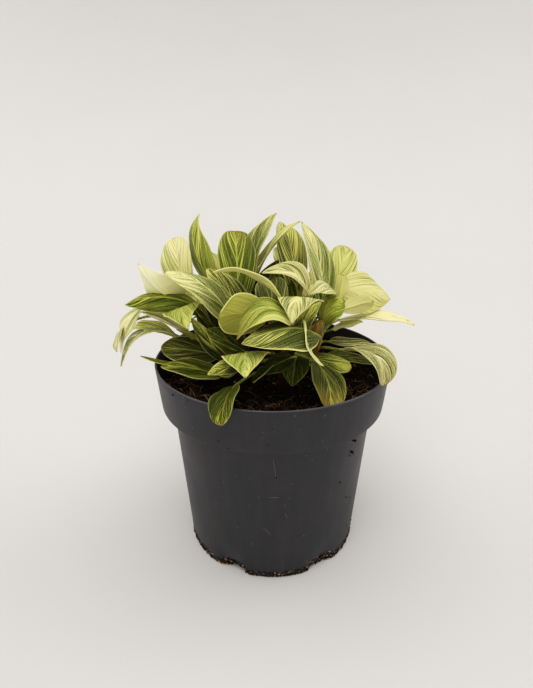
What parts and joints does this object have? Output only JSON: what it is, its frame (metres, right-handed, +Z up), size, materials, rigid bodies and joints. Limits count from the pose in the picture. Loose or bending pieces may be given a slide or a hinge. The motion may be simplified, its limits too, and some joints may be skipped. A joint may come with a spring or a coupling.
{
  "type": "potted philodendron",
  "caption": "Small bushy philodendron with pointed cream-striped leaves, growing in a filled round plastic grower's pot that stands on a flat base.",
  "frame": {"origin": "middle of the flat pad under the pot, on the surface that the pot stands on", "axes": "+Z up, the side that the picture shows towards -Y, +X to the right as the picture shows it"},
  "size_m": [0.1498, 0.1343, 0.1735],
  "materials": {
    "pot_plastic": "satin charcoal",
    "potting_soil": "loose dark peat and fibre",
    "leaf": "waxy, striped green and cream"
  },
  "bodies": {
    "root": {"pot": "pot_plastic", "soil": "potting_soil", "stem_left": "leaf", "stem_front": "leaf", "stem_right": "leaf", "stem_middle": "leaf", "stem_back_left": "leaf", "stem_back_right": "leaf"}
  },
  "joints": []
}
